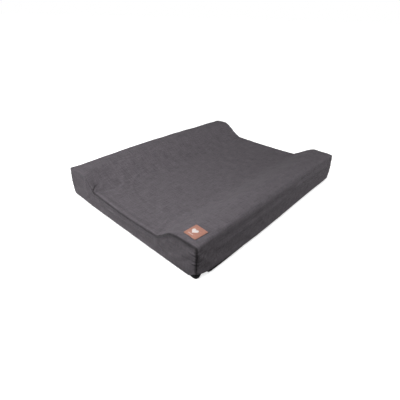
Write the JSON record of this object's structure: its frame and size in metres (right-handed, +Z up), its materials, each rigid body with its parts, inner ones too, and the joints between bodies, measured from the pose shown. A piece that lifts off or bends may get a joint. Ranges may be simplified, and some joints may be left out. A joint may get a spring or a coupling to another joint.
{
  "type": "changing pad",
  "caption": "Rectangular foam changing pad with a raised bolster along each long side, in a fitted cotton cover that pulls off.",
  "frame": {"origin": "middle of the pad's outline, on the surface it lies on", "axes": "+X to the right across the two bolsters, +Y along them to the back, +Z up; the leather patch is at the front right"},
  "size_m": [0.5, 0.65, 0.0925],
  "materials": {
    "cover_fabric": "washed charcoal cotton plain weave",
    "black_binding": "matt black folded binding",
    "white_elastic": "woven elastic tape",
    "grey_thread": "spun polyester sewing thread",
    "tan_leather": "smooth tan leather with a fine grain",
    "white_satin": "woven satin tape, blank",
    "white_skin": "wipe-clean coated film, semi-matt",
    "foam": "open-cell polyether foam",
    "wadding": "white polyester wadding",
    "nickel_vent": "nickel-plated"
  },
  "bodies": {
    "pad": {"foam_slab": "foam", "foam_bolster_left": "foam", "foam_bolster_right": "foam", "wadding_sheet": "wadding", "skin_top": "white_skin", "skin_base": "white_skin", "vent_eyelet_front_left": "nickel_vent", "vent_washer_front_left": "nickel_vent", "vent_eyelet_front_right": "nickel_vent", "vent_washer_front_right": "nickel_vent", "vent_eyelet_back_left": "nickel_vent", "vent_washer_back_left": "nickel_vent", "vent_eyelet_back_right": "nickel_vent", "vent_washer_back_right": "nickel_vent"},
    "cover": {"cover_top_panel": "cover_fabric", "cover_end_panel_front": "cover_fabric", "cover_end_panel_back": "cover_fabric", "cover_underlap": "cover_fabric", "seam_allowance_front": "cover_fabric", "seam_allowance_back": "cover_fabric", "hem_binding": "black_binding", "hem_elastic": "white_elastic", "hem_thread": "grey_thread", "overlock_thread_front": "grey_thread", "overlock_thread_back": "grey_thread", "patch_thread": "grey_thread", "leather_patch": "tan_leather", "care_label": "white_satin"}
  },
  "joints": [
    {"name": "cover_lift", "type": "slide", "parent": "pad", "child": "cover", "axis": [0, 0, 1], "range_m": [0, 0.16], "deforming": ["hem_binding", "hem_elastic", "hem_thread", "cover_underlap"]}
  ]
}
